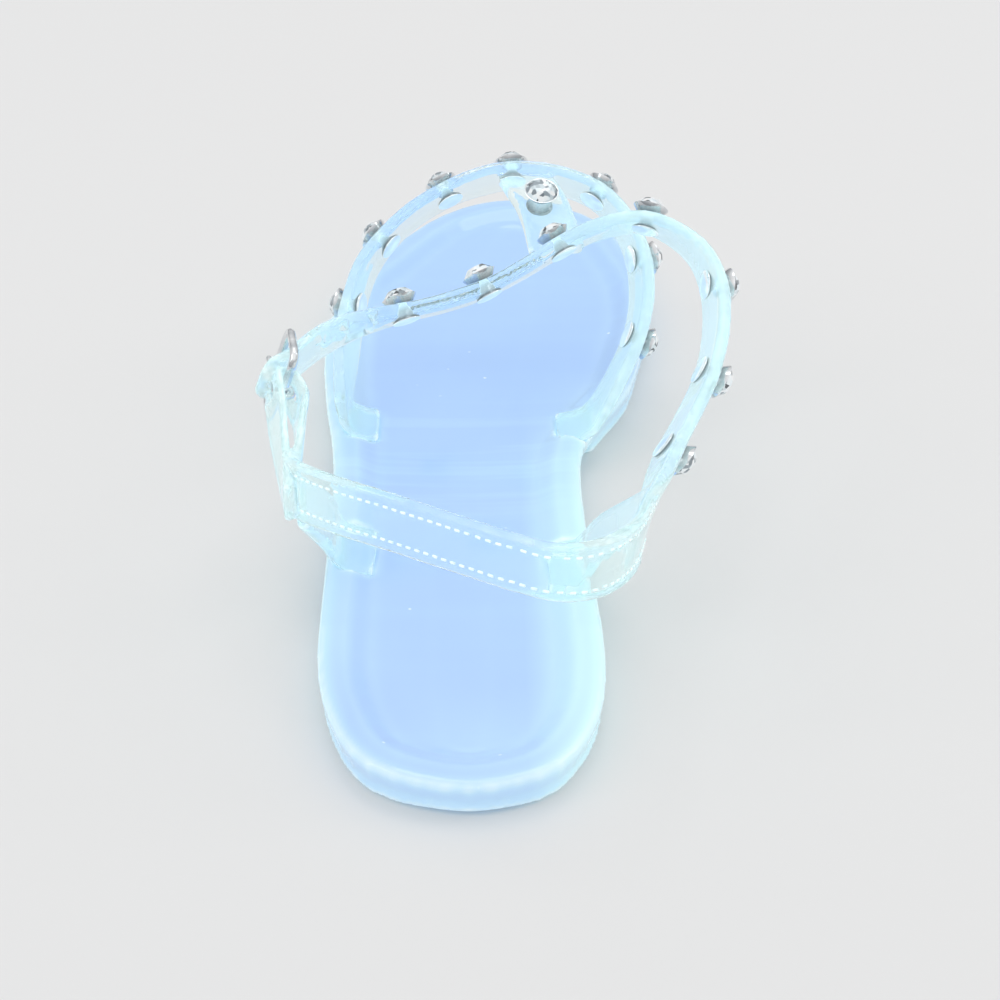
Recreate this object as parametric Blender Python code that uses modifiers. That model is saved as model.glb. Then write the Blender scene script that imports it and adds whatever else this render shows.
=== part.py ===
"""A left jelly sandal: one clear moulded sole, one moulded upper of joined straps, a metal buckle and riveted studs.

Metres, +Z up. X runs from the outer side of the foot (-) to the inner side (+), Y from heel to toe. The origin is on
the floor, under the middle of the heel's flat rest.
"""
from math import cos, pi, radians, sin

import bmesh
import bpy
from mathutils import Euler, Matrix, Vector

# sole
sole_length = 0.2514
ball_width = 0.0886
sole_thickness = 0.0090
heel_rest_share = 0.13  # of sole_length, where the origin lies
toe_spring = 0.0032
toe_break_share = 0.83  # the sole is flat behind this share of its length
heel_roll = 0.0006
heel_roll_share = 0.03
rim_width = 0.0064
rim_round = 0.0016
recess_depth = 0.0025
recess_slope = 0.0045
footbed_dish = 0.0006
side_flare = 0.0013  # the tread's edge lies this far inside the rim's edge
tread_round = 0.0010
lip_height = 0.0016
lip_step = 0.0006
heel_breast_share = 0.250
tread_rear_share = 0.524
arch_step = 0.0029
arch_height = 0.0043
groove_width = 0.0020
groove_depth = 0.0010
groove_margin = 0.0100
rung_cells = 3

# straps
strap_height = 0.0600  # height that the straps' height shares follow
toe_strap_width = 0.0130
ankle_strap_width = 0.0120
t_bar_width = 0.0140
outer_arm_width = 0.0160
inner_arm_width = 0.0150
fold_width = 0.0110
strap_thickness = 0.0032
fold_thickness = 0.0018
strap_edge_round = 0.0008
border_width = 0.0021
border_step = 0.0007
seat_gap = 0.0003

# buckle
bar_radius = 0.0011
buckle_height = 0.0190
buckle_depth = 0.0122
buckle_corner = 0.0026
buckle_lean = 20.0  # degrees, the foot of the frame stands outward
buckle_pitch = 1.5
buckle_yaw = 10.0
prong_radius = 0.0008
prong_overrun = 0.0013
adjust_hole_radius = 0.0010
adjust_hole_first = 0  # the rows of ankle_rows that the adjusting holes lie between
adjust_hole_last = 1
prong_hole_radius = 0.0014

# studs
stud_radius = 0.0042
stud_rise = 0.0023
stud_foot_radius = 0.0031
stone_radius = 0.0036
stone_rise = 0.0043
cap_radius = 0.0035
cap_rise = 0.0009
shank_radius = 0.0013
turned_sides = 10
stone_sides = 8

# The outline seen from above, heel to toe. along is a share of sole_length, outer and inner are shares of half of
# ball_width, and top is the rim's height as a share of sole_thickness. divide is how many steps lead to the next row.
outline_columns = ("along", "outer", "inner", "top", "divide")
outline_rows = (
    (0.000, 0.020, 0.020, 1.00, 3),
    (0.016, -0.335, 0.355, 1.00, 2),
    (0.045, -0.533, 0.524, 1.00, 2),
    (0.090, -0.650, 0.641, 1.00, 2),
    (0.140, -0.715, 0.685, 1.00, 2),
    (0.200, -0.735, 0.688, 1.01, 2),
    (0.300, -0.731, 0.653, 1.03, 3),
    (0.420, -0.733, 0.630, 1.05, 2),
    (0.490, -0.757, 0.658, 1.02, 2),
    (0.550, -0.803, 0.812, 0.96, 2),
    (0.600, -0.836, 0.955, 0.91, 2),
    (0.670, -0.864, 1.045, 0.86, 2),
    (0.750, -0.853, 1.138, 0.84, 2),
    (0.830, -0.756, 1.133, 0.86, 2),
    (0.890, -0.545, 1.040, 0.95, 2),
    (0.950, -0.289, 0.880, 1.10, 2),
    (0.985, -0.027, 0.620, 1.20, 3),
    (1.000, 0.282, 0.282, 1.24, 0),
)

# Strap routes. across, along and height are shares of half of ball_width, sole_length and strap_height; edge_x, edge_y
# and edge_z point from the route towards the strap's lower or front edge; width and thick are shares of the strap's own;
# border is how much of the raised border shows; stud is 1 where a stud sits.
route_columns = ("across", "along", "height", "edge_x", "edge_y", "edge_z", "width", "thick", "border", "stud")
toe_strap_rows = (
    (-0.500, 0.537, 0.115, 0, 1, 0, 1.04, 0.70, 0, 0),
    (-0.575, 0.537, 0.121, 0, 1, 0, 1.10, 0.75, 0, 0),
    (-0.640, 0.537, 0.140, 0, 1, 0, 1.08, 0.80, 0, 0),
    (-0.682, 0.537, 0.180, 0, 1, 0, 1.04, 0.85, 0, 0),
    (-0.700, 0.541, 0.240, 0.10, 1, -0.25, 1, 1, 0, 0),
    (-0.697, 0.554, 0.303, 0.20, 0.80, -0.60, 1, 1, 0, 0),
    (-0.686, 0.578, 0.370, 0.28, 0.65, -0.76, 1, 1, 0, 0),
    (-0.672, 0.602, 0.428, 0.30, 0.65, -0.76, 1, 1, 0, 0),
    (-0.651, 0.625, 0.483, 0.30, 0.80, -0.60, 1, 1, 0, 1),
    (-0.590, 0.653, 0.583, 0.28, 0.72, -0.65, 1, 1, 0, 0),
    (-0.474, 0.679, 0.667, 0.20, 0.72, -0.66, 1, 1, 0, 1),
    (-0.313, 0.703, 0.742, 0.12, 0.68, -0.72, 1, 1, 0, 0),
    (-0.114, 0.722, 0.800, 0.05, 0.65, -0.76, 1, 1, 0, 1),
    (0.080, 0.727, 0.850, 0, 0.60, -0.80, 1, 1, 0, 0),
    (0.268, 0.729, 0.875, 0, 0.60, -0.80, 1, 1, 0, 1),
    (0.520, 0.728, 0.858, 0, 0.60, -0.80, 1, 1, 0, 0),
    (0.760, 0.719, 0.800, -0.08, 0.60, -0.80, 1, 1, 0, 1),
    (0.910, 0.697, 0.717, -0.18, 0.62, -0.77, 1, 1, 0, 0),
    (0.996, 0.662, 0.620, -0.28, 0.72, -0.65, 1, 1, 0, 1),
    (1.009, 0.624, 0.517, -0.28, 0.80, -0.58, 1, 1, 0, 0),
    (0.958, 0.590, 0.407, -0.20, 0.88, -0.45, 1, 1, 0, 1),
    (0.850, 0.558, 0.290, -0.08, 1, -0.25, 1, 1, 0, 0),
    (0.750, 0.536, 0.200, 0, 1, -0.05, 1.04, 0.90, 0, 0),
    (0.690, 0.530, 0.150, 0, 1, 0, 1.08, 0.80, 0, 0),
    (0.610, 0.529, 0.123, 0, 1, 0, 1.10, 0.75, 0, 0),
    (0.510, 0.528, 0.115, 0, 1, 0, 1.04, 0.70, 0, 0),
)
t_bar_rows = (
    (0.325, 0.716, 0.933, 1, 0.10, 0, 0.94, 0.55, 1, 0),
    (0.350, 0.700, 0.905, 1, 0.22, 0, 0.97, 1, 1, 0),
    (0.425, 0.677, 0.862, 1, 0.28, 0, 1, 1, 1, 1),
    (0.478, 0.643, 0.820, 1, 0.22, 0, 1, 1, 1, 0),
    (0.508, 0.6085, 0.774, 1, 0.18, 0, 1, 0.85, 1, 0),
)
# From the buckle forward round the ankle, then back along the inner side and round the heel to the outer crease.
ankle_rows = (
    (-0.769, 0.452, 0.742, -0.25, 0.25, -0.90, 1, 0.90, 0, 0),
    (-0.566, 0.483, 0.742, -0.10, 0.60, -0.78, 1, 1, 0, 0),
    (-0.334, 0.508, 0.733, 0, 0.76, -0.65, 1, 1, 0, 1),
    (-0.113, 0.527, 0.733, 0, 0.76, -0.65, 1, 1, 0, 0),
    (0.111, 0.550, 0.742, 0, 0.76, -0.65, 1, 1, 0, 1),
    (0.328, 0.573, 0.783, 0, 0.74, -0.67, 1, 1, 0, 0),
    (0.525, 0.594, 0.833, 0, 0.70, -0.71, 1, 1, 0, 1),
    (0.748, 0.601, 0.900, 0, 0.70, -0.71, 1, 1, 0, 0),
    (1.003, 0.591, 0.950, -0.05, 0.72, -0.70, 1, 1, 0, 1),
    (1.242, 0.562, 0.900, -0.15, 0.68, -0.72, 1, 1, 0, 0),
    (1.340, 0.517, 0.833, -0.25, 0.65, -0.72, 1, 1, 0, 1),
    (1.331, 0.460, 0.767, -0.28, 0.66, -0.70, 1, 1, 0, 0),
    (1.265, 0.412, 0.692, -0.30, 0.62, -0.72, 1, 1, 0, 1),
    (1.156, 0.363, 0.650, -0.42, 0.48, -0.77, 1, 1, 0, 0),
    (1.034, 0.313, 0.617, -0.50, 0.35, -0.80, 1, 1, 0, 1),
    (0.931, 0.246, 0.633, -0.42, 0.18, -0.90, 1, 1, 0, 0),
    (0.849, 0.184, 0.683, -0.20, 0, -1, 1.06, 1, 0.3, 0),
    (0.803, 0.138, 0.745, -0.10, 0, -1, 1.10, 1, 1, 0),
    (0.730, 0.098, 0.808, -0.05, 0, -1, 1.10, 1, 1, 0),
    (0.605, 0.065, 0.858, 0, -0.05, -1, 1.10, 1, 1, 0),
    (0.426, 0.051, 0.883, 0, -0.05, -1, 1.10, 1, 1, 0),
    (0.239, 0.064, 0.883, 0, -0.05, -1, 1.10, 1, 1, 0),
    (0.060, 0.086, 0.867, 0, -0.05, -1, 1.10, 1, 1, 0),
    (-0.127, 0.115, 0.833, 0, -0.05, -1, 1.12, 1, 1, 0),
    (-0.350, 0.150, 0.792, 0, -0.05, -1, 1.14, 1, 1, 0),
    (-0.610, 0.194, 0.730, 0, -0.05, -1, 1.16, 1, 1, 0),
    (-0.800, 0.236, 0.668, 0, -0.05, -1, 1.18, 1, 1, 0),
    (-0.862, 0.262, 0.640, 0, -0.05, -1, 1.16, 0.95, 1, 0),
)
outer_arm_rows = (
    (-0.470, 0.322, 0.120, 0, 1, 0, 1.06, 0.70, 0, 0),
    (-0.560, 0.323, 0.130, 0, 1, 0, 1.10, 0.75, 0, 0),
    (-0.630, 0.323, 0.150, 0, 1, 0, 1.08, 0.80, 0, 0),
    (-0.675, 0.321, 0.200, 0, 1, 0, 1.04, 0.90, 0, 0),
    (-0.708, 0.310, 0.300, 0, 1, 0.10, 0.98, 1, 0, 0),
    (-0.760, 0.284, 0.440, 0, 1, 0.25, 0.90, 1, 0, 0),
    (-0.805, 0.256, 0.570, 0, 1, 0.35, 0.84, 0.90, 0, 0),
)
inner_arm_rows = (
    (0.410, 0.294, 0.120, 0, -1, 0, 1.06, 0.70, 0, 0),
    (0.495, 0.295, 0.130, 0, -1, 0, 1.10, 0.75, 0, 0),
    (0.570, 0.295, 0.150, 0, -1, 0, 1.08, 0.80, 0, 0),
    (0.622, 0.292, 0.200, 0, -1, 0, 1.04, 0.90, 0, 0),
    (0.690, 0.276, 0.310, 0, -1, 0, 0.98, 1, 0, 0),
    (0.775, 0.252, 0.440, 0, -1, 0, 0.92, 1, 0, 0),
    (0.875, 0.224, 0.590, 0, -1, 0, 0.86, 0.90, 0, 0),
)
route_step = 0.0035  # about how far apart the cross-sections of a strap lie
foot_knots = 4  # the rows at an end of a route that lie in the sole's seat

# Where the folded strap leaves the heel band, outside and inside, and how it runs to the buckle.
fold_outer_rows = (
    (-0.855, 0.229, 0.625),
    (-0.887, 0.268, 0.650),
    (-0.935, 0.318, 0.700),
)
fold_inner_rows = (
    (-0.822, 0.318, 0.715),
    (-0.815, 0.255, 0.660),
)
buckle_share = (-0.928, 0.3672, 0.740)  # the middle of the frame's rear bar, in the straps' shares

forefoot_grooves = (0.575, 0.615, 0.655, 0.735, 0.775, 0.815, 0.855, 0.895)
heel_grooves = (0.055, 0.085, 0.178, 0.208)

half_ball = ball_width / 2
pieces = bpy.data.collections.new("jelly_sandal")
cutters = bpy.data.collections.new("cutters")


def along(share):
    """Y of a share of the sole's length."""
    return (share - heel_rest_share) * sole_length


def place(across, along_share, height):
    """A point given in the straps' shares."""
    return Vector((across * half_ball, along(along_share), height * strap_height))


def clear_scene():
    """Remove what a new file starts with."""
    for thing in list(bpy.context.scene.objects):
        bpy.data.objects.remove(thing, do_unlink=True)
    bpy.context.scene.collection.children.link(pieces)
    bpy.context.scene.collection.children.link(cutters)


def plain_material(name, colour, roughness, metallic, transmission=0.0):
    """A Principled material."""
    material = bpy.data.materials.new(name)
    material.use_nodes = True
    shader = material.node_tree.nodes["Principled BSDF"]
    shader.inputs["Base Color"].default_value = (*colour, 1)
    shader.inputs["Roughness"].default_value = roughness
    shader.inputs["Metallic"].default_value = metallic
    shader.inputs["Transmission Weight"].default_value = transmission
    material.diffuse_color = (*colour, 1)
    return material


def add_object(name, data, material=None, smooth_angle=None):
    """A piece in the sandal's collection."""
    thing = bpy.data.objects.new(name, data)
    pieces.objects.link(thing)
    if material:
        data.materials.append(material)
    if smooth_angle:
        data.shade_smooth()
        data.set_sharp_from_angle(angle=radians(smooth_angle))
    return thing


def add_cutter(name, mesh):
    """A helper solid that only cuts or joins."""
    thing = bpy.data.objects.new(name, mesh)
    cutters.objects.link(thing)
    thing.hide_render = True
    thing.display_type = "WIRE"
    return thing


def combine(target, other, operation):
    """Join another solid to the target, or cut it away."""
    boolean = target.modifiers.new(other.name, "BOOLEAN")
    boolean.operation = operation
    boolean.object = other


def mesh_from(builder, name):
    """Finish a bmesh as a closed mesh with its faces pointing out."""
    bmesh.ops.recalc_face_normals(builder, faces=builder.faces)
    mesh = bpy.data.meshes.new(name)
    builder.to_mesh(mesh)
    builder.free()
    return mesh


def smooth_between(before, start, end, after, share):
    """Catmull-Rom value between start and end, for numbers and vectors."""
    bend = before * 2 - start * 5 + end * 4 - after
    twist = start * 3 - before - end * 3 + after
    return (start * 2 + (end - before) * share + bend * share ** 2 + twist * share ** 3) * 0.5


def tread_height(share):
    """Height of the sole's underside above the floor."""
    if share > toe_break_share:
        return toe_spring * ((share - toe_break_share) / (1 - toe_break_share)) ** 2
    if share < heel_roll_share:
        return heel_roll * (1 - share / heel_roll_share) ** 2
    return 0.0


def sole_stations():
    """Stations from heel to toe: share of length, outer X, inner X and rim height."""
    rows = [dict(zip(outline_columns, row)) for row in outline_rows]
    mirrored = {"outer": "inner", "inner": "outer", "along": "along", "top": "top"}
    stations = []
    for index, row in enumerate(rows[:-1]):
        after = rows[index + 1]
        for step in range(row["divide"]):
            station = {}
            for column in ("along", "outer", "inner", "top"):
                before_value = rows[index - 1][column] if index else after[mirrored[column]]
                last = index + 2 < len(rows)
                later_value = rows[index + 2][column] if last else row[mirrored[column]]
                station[column] = smooth_between(before_value, row[column], after[column], later_value,
                                                 step / row["divide"])
            stations.append(station)
    stations.append(rows[-1])
    return stations


def outline_points(stations):
    """The rim's outer edge as a closed loop, up the outer side and down the inner one, with each point's station."""
    outer = [(Vector((row["outer"] * half_ball, along(row["along"]))), row) for row in stations]
    inner = [(Vector((row["inner"] * half_ball, along(row["along"]))), row) for row in stations[-2:0:-1]]
    return outer + inner


def inset_loop(points, inset):
    """The outline moved inward by a distance, point by point."""
    moved = []
    for index, (point, row) in enumerate(points):
        chord = points[(index + 1) % len(points)][0] - points[index - 1][0]
        inward = Vector((chord.y, -chord.x)).normalized()
        moved.append((point + inward * inset, row))
    return moved


def sole_rings():
    """Inset, share of the wall's height and drop of each ring of the sole, from the tread to the footbed."""
    return (
        (side_flare + tread_round, 0, 0),
        (side_flare - lip_step, 0, tread_round / 2),
        (side_flare - lip_step, 0, lip_height),
        (side_flare, 0, lip_height + lip_step),
        (0.0, 1, -rim_round),
        (rim_round * 0.3, 1, -rim_round * 0.3),
        (rim_round, 1, 0),
        (rim_width, 1, 0),
        (rim_width + recess_slope * 0.2, 1, -recess_depth * 0.2),
        (rim_width + recess_slope, 1, -recess_depth * 0.9),
        (rim_width + recess_slope * 1.35, 1, -recess_depth),
    )


def fill_ladder(builder, loop, dish):
    """Close a ring with rungs from its outer side to its inner side, sunk by dish in the middle."""
    count = len(loop) // 2
    rungs = [[loop[0]]]
    for index in range(1, count):
        start, end = loop[index], loop[-index]
        rung = [start]
        for cell in range(1, rung_cells):
            share = cell / rung_cells
            spot = start.co.lerp(end.co, share)
            spot.z -= dish * 4 * share * (1 - share)
            rung.append(builder.verts.new(spot))
        rungs.append(rung + [end])
    rungs.append([loop[count]])
    for low, high in zip(rungs, rungs[1:]):
        for cell in range(rung_cells):
            if len(low) == 1:
                builder.faces.new((low[0], high[cell + 1], high[cell]))
            elif len(high) == 1:
                builder.faces.new((low[cell], low[cell + 1], high[0]))
            else:
                builder.faces.new((low[cell], low[cell + 1], high[cell + 1], high[cell]))


def sole_body(stations):
    """The sole as rings of its outline, closed by the tread below and the footbed above."""
    builder = bmesh.new()
    outline = outline_points(stations)
    loops = []
    for inset, share, lift in sole_rings():
        ring = []
        for point, row in inset_loop(outline, inset):
            low = tread_height(row["along"])
            high = row["top"] * sole_thickness
            ring.append(builder.verts.new((point.x, point.y, low + (high - low) * share + lift)))
        loops.append(ring)
    for lower, upper in zip(loops, loops[1:]):
        for index in range(len(lower)):
            builder.faces.new((lower[index - 1], lower[index], upper[index], upper[index - 1]))
    fill_ladder(builder, loops[0], 0)
    fill_ladder(builder, loops[-1], footbed_dish)
    return mesh_from(builder, "sole")


def arch_cutter():
    """What is hollowed from the underside between the heel block and the forefoot tread."""
    start, end = along(heel_breast_share), along(tread_rear_share)
    profile = [(start, -sole_thickness)]
    arch_points = 8
    for index in range(arch_points + 1):
        share = index / arch_points
        profile.append((start + (end - start) * share,
                        arch_step + (arch_height - arch_step) * sin(pi * share)))
    profile.append((end, -sole_thickness))
    builder = bmesh.new()
    corners = [builder.verts.new((-ball_width, y, z)) for y, z in profile]
    face = builder.faces.new(corners)
    swept = bmesh.ops.extrude_face_region(builder, geom=[face])
    moved = [item for item in swept["geom"] if isinstance(item, bmesh.types.BMVert)]
    bmesh.ops.translate(builder, verts=moved, vec=(2 * ball_width, 0, 0))
    return mesh_from(builder, "arch_cutter")


def outline_at(stations, share):
    """Outer and inner X of the outline at a share of the length."""
    for low, high in zip(stations, stations[1:]):
        if low["along"] <= share <= high["along"]:
            part = (share - low["along"]) / (high["along"] - low["along"])
            return [half_ball * (low[side] + (high[side] - low[side]) * part) for side in ("outer", "inner")]
    return [0.0, 0.0]


def groove_cutter(stations):
    """The cross grooves of the tread, in one cutter."""
    builder = bmesh.new()
    for share in forefoot_grooves + heel_grooves:
        outer, inner = outline_at(stations, share)
        length = inner - outer - 2 * groove_margin
        height = 2 * (groove_depth + tread_height(share))
        size = Matrix.Diagonal((length, groove_width, height, 1))
        spot = Matrix.Translation(((outer + inner) / 2, along(share), 0))
        bmesh.ops.create_cube(builder, size=1, matrix=spot @ size)
    return mesh_from(builder, "groove_cutter")


class Knot:
    """One point of a strap's route, with what the strap is there."""

    def __init__(self, spot, edge, width, thick=1.0, border=0.0, stud=0):
        self.values = [Vector(spot), Vector(edge), width, thick, border]
        self.stud = stud


class Frame:
    """One cross-section of a strap: its middle, direction, edge and outward side."""

    def __init__(self, values, direction, knot, stud):
        self.spot, edge, self.width, self.thick, self.border = values
        self.knot = knot
        self.stud = stud
        self.direction = direction.normalized()
        self.edge = (edge - self.direction * edge.dot(self.direction)).normalized()
        self.outward = self.direction.cross(self.edge)

    def matrix(self):
        """Local Z outward from the strap."""
        turned = Matrix((self.direction, self.edge, self.outward)).transposed()
        return Matrix.Translation(self.spot) @ turned.to_4x4()


def read_route(rows, strap_width):
    """Knots of a route table."""
    knots = []
    for row in rows:
        cell = dict(zip(route_columns, row))
        knots.append(Knot(place(cell["across"], cell["along"], cell["height"]),
                          (cell["edge_x"], cell["edge_y"], cell["edge_z"]),
                          cell["width"] * strap_width, cell["thick"], cell["border"], cell["stud"]))
    return knots


def route_frames(knots):
    """Smooth cross-sections through the knots."""
    rows = [knot.values for knot in knots]
    start = [value * 2 - after for value, after in zip(rows[0], rows[1])]
    end = [value * 2 - before for value, before in zip(rows[-1], rows[-2])]
    rows = [start] + rows + [end]
    samples = []
    for index, knot in enumerate(knots[:-1]):
        steps = max(1, round((rows[index + 2][0] - rows[index + 1][0]).length / route_step))
        for step in range(steps):
            values = [smooth_between(*four, step / steps) for four in zip(*rows[index:index + 4])]
            samples.append((values, index, knot.stud and step == 0))
    samples.append((rows[-2], len(knots) - 1, knots[-1].stud))
    frames = []
    for index, (values, knot, stud) in enumerate(samples):
        before = samples[max(index - 1, 0)][0][0]
        after = samples[min(index + 1, len(samples) - 1)][0][0]
        frames.append(Frame(values, after - before, knot, stud))
    return frames


def strap_section(frame, thickness, grow):
    """Corners of a strap's section, across its width and through its thickness, with its raised borders."""
    half = frame.width / 2 + grow
    deep = thickness * frame.thick / 2 + grow
    step = border_step * frame.border
    inner = half - border_width
    return (
        (-half, deep - strap_edge_round), (-half + strap_edge_round, deep), (-inner, deep - step),
        (inner, deep - step), (half - strap_edge_round, deep), (half, deep - strap_edge_round),
        (half, strap_edge_round - deep), (half - strap_edge_round, -deep),
        (strap_edge_round - half, -deep), (-half, strap_edge_round - deep),
    )


def plain_section(frame, thickness, grow):
    """The same without borders."""
    half = frame.width / 2 + grow
    deep = thickness * frame.thick / 2 + grow
    return (
        (-half, deep - strap_edge_round), (-half + strap_edge_round, deep),
        (half - strap_edge_round, deep), (half, deep - strap_edge_round),
        (half, strap_edge_round - deep), (half - strap_edge_round, -deep),
        (strap_edge_round - half, -deep), (-half, strap_edge_round - deep),
    )


def ribbon(frames, section, thickness, name, grow=0.0):
    """A closed strap swept through its frames, grown all round where it serves as a cutter."""
    builder = bmesh.new()
    loops = []
    for index, frame in enumerate(frames):
        spot = frame.spot.copy()
        if index == 0:
            spot -= frame.direction * grow
        if index == len(frames) - 1:
            spot += frame.direction * grow
        loops.append([builder.verts.new(spot + frame.edge * across + frame.outward * out)
                      for across, out in section(frame, thickness, grow)])
    for lower, upper in zip(loops, loops[1:]):
        for index in range(len(lower)):
            builder.faces.new((lower[index - 1], lower[index], upper[index], upper[index - 1]))
    builder.faces.new(loops[0])
    builder.faces.new(loops[-1])
    return mesh_from(builder, name)


class Buckle:
    """The frame's own axes: down its bars, forward to its front bar, and out from the ankle."""

    def __init__(self):
        turn = Euler((radians(buckle_pitch), radians(buckle_lean), radians(buckle_yaw))).to_matrix()
        self.down = turn @ Vector((0, 0, -1))
        self.forward = turn @ Vector((0, 1, 0))
        self.out = turn @ Vector((-1, 0, 0))
        self.rear = place(*buckle_share)

    def at(self, forward, out, down=0.0):
        """A point by its distances from the middle of the rear bar."""
        return self.rear + self.forward * forward + self.out * out + self.down * down

    def matrix(self):
        """Local X down, Y forward, Z out."""
        turned = Matrix((self.down, self.forward, self.out)).transposed()
        return Matrix.Translation(self.rear) @ turned.to_4x4()


def free_end_knots(buckle):
    """The strap's end: it passes inside the front bar and comes out through the frame, past the prong."""
    thick = 0.80
    half = strap_thickness * thick / 2
    over = bar_radius + seat_gap + fold_thickness + seat_gap + half
    under = bar_radius + seat_gap + half
    spots = (
        buckle.at(buckle_depth * 0.14, over + 0.0002),
        buckle.at(buckle_depth * 0.34, over * 0.72),
        buckle.at(buckle_depth * 0.58, over * 0.12),
        buckle.at(buckle_depth, -under - seat_gap),
    )
    widths = (0.55, 0.95, 1, 1)
    return [Knot(spot, buckle.down, ankle_strap_width * width, thick) for spot, width in zip(spots, widths)]


def fold_knots(buckle):
    """The strap that leaves the heel band, turns round the frame's rear bar and comes back inside."""
    radius = bar_radius + seat_gap + fold_thickness / 2
    spots = [place(*row) for row in fold_outer_rows]
    edges = [Vector((0, 0, -1)), Vector((-0.15, 0, -1)), Vector((-0.30, 0.05, -0.95))]
    spots.append(buckle.at(-0.0060, radius))
    for degrees in (90, 45, 0, -45, -90):
        spots.append(buckle.at(radius * cos(radians(degrees)), radius * sin(radians(degrees))))
    spots.append(buckle.at(-0.0060, -radius - 0.0012))
    edges += [buckle.down] * 7
    spots += [place(*row) for row in fold_inner_rows]
    edges += [Vector((-0.2, 0, -1)), Vector((0, 0, -1))]
    return [Knot(spot, edge, fold_width) for spot, edge in zip(spots, edges)]


def rod(builder, start, end, radius, sides):
    """A cylinder between two points, in a bmesh."""
    axis = end - start
    turned = axis.to_track_quat("Z", "Y").to_matrix().to_4x4()
    bmesh.ops.create_cone(builder, cap_ends=True, segments=sides, radius1=radius, radius2=radius,
                          depth=axis.length, matrix=Matrix.Translation((start + end) / 2) @ turned)


def hole_cutter(stud_frames, ankle_frames, buckle):
    """The rivet holes, the adjusting holes and the prong's hole, in one cutter."""
    builder = bmesh.new()
    reach = strap_thickness * 1.6
    for frame in stud_frames:
        rod(builder, frame.spot - frame.outward * reach, frame.spot + frame.outward * reach,
            shank_radius + seat_gap, 8)
    ahead = len(free_end_knots(buckle))
    holed = [frame for frame in ankle_frames if adjust_hole_first <= frame.knot - ahead <= adjust_hole_last]
    for frame in holed[::2]:
        rod(builder, frame.spot - frame.outward * reach, frame.spot + frame.outward * reach,
            adjust_hole_radius, 8)
    level = bar_radius + seat_gap + prong_radius
    rod(builder, buckle.at(bar_radius * 2.0, level), buckle.at(buckle_depth * 0.85, level), prong_hole_radius, 8)
    return mesh_from(builder, "hole_cutter")


def prong_slot(buckle):
    """The slot in the fold where the prong's loop turns."""
    builder = bmesh.new()
    reach = 2 * (bar_radius + seat_gap + fold_thickness + seat_gap)
    height = 2 * (prong_radius + seat_gap)
    size = Matrix.Diagonal((height, reach, reach, 1))
    bmesh.ops.create_cube(builder, size=1, matrix=buckle.matrix() @ size)
    return mesh_from(builder, "prong_slot")


def make_upper(routes, stud_frames, buckle, material):
    """The straps joined where they cross, with their holes."""
    upper = add_object("upper", ribbon(routes["ankle"], strap_section, strap_thickness, "upper"), material, 40)
    joined = (
        ("toe_strap", plain_section, strap_thickness),
        ("t_bar", strap_section, strap_thickness),
        ("outer_arm", plain_section, strap_thickness),
        ("inner_arm", plain_section, strap_thickness),
    )
    for name, section, thickness in joined:
        combine(upper, add_cutter(name, ribbon(routes[name], section, thickness, name)), "UNION")
    fold = add_cutter("fold", ribbon(routes["fold"], plain_section, fold_thickness, "fold"))
    combine(fold, add_cutter("prong_slot", prong_slot(buckle)), "DIFFERENCE")
    combine(upper, fold, "UNION")
    combine(upper, add_cutter("holes", hole_cutter(stud_frames, routes["ankle"], buckle)), "DIFFERENCE")
    return upper


def make_sole(routes, material):
    """The sole with its arch, grooves and the seats of the four feet."""
    stations = sole_stations()
    sole = add_object("sole", sole_body(stations), material, 40)
    combine(sole, add_cutter("arch_cutter", arch_cutter()), "DIFFERENCE")
    combine(sole, add_cutter("groove_cutter", groove_cutter(stations)), "DIFFERENCE")
    feet = {
        "toe_outer_seat": [frame for frame in routes["toe_strap"] if frame.knot <= foot_knots],
        "toe_inner_seat": [frame for frame in routes["toe_strap"]
                           if frame.knot >= len(toe_strap_rows) - foot_knots],
        "heel_outer_seat": [frame for frame in routes["outer_arm"] if frame.knot <= foot_knots],
        "heel_inner_seat": [frame for frame in routes["inner_arm"] if frame.knot <= foot_knots],
    }
    for name, frames in feet.items():
        seat = ribbon(frames, plain_section, strap_thickness, name, seat_gap)
        combine(sole, add_cutter(name, seat), "DIFFERENCE")
    return sole


def turned_piece(name, mesh, frame, sides):
    """A turned piece on a strap, its profile swept round the stud's axis."""
    thing = bpy.data.objects.new(name, mesh)
    pieces.objects.link(thing)
    thing.matrix_world = frame.matrix()
    screw = thing.modifiers.new("turned", "SCREW")
    screw.steps = sides
    screw.render_steps = sides
    screw.use_merge_vertices = True
    screw.merge_threshold = 0.00001
    screw.use_smooth_shade = False
    return thing


def profile_mesh(name, profile, material):
    """An open profile in XZ, from the top of the axis down the outer side to the bottom."""
    mesh = bpy.data.meshes.new(name)
    edges = [(index, index + 1) for index in range(len(profile) - 1)]
    mesh.from_pydata([(r, 0, z) for r, z in profile], edges, [])
    mesh.materials.append(material)
    return mesh


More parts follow.
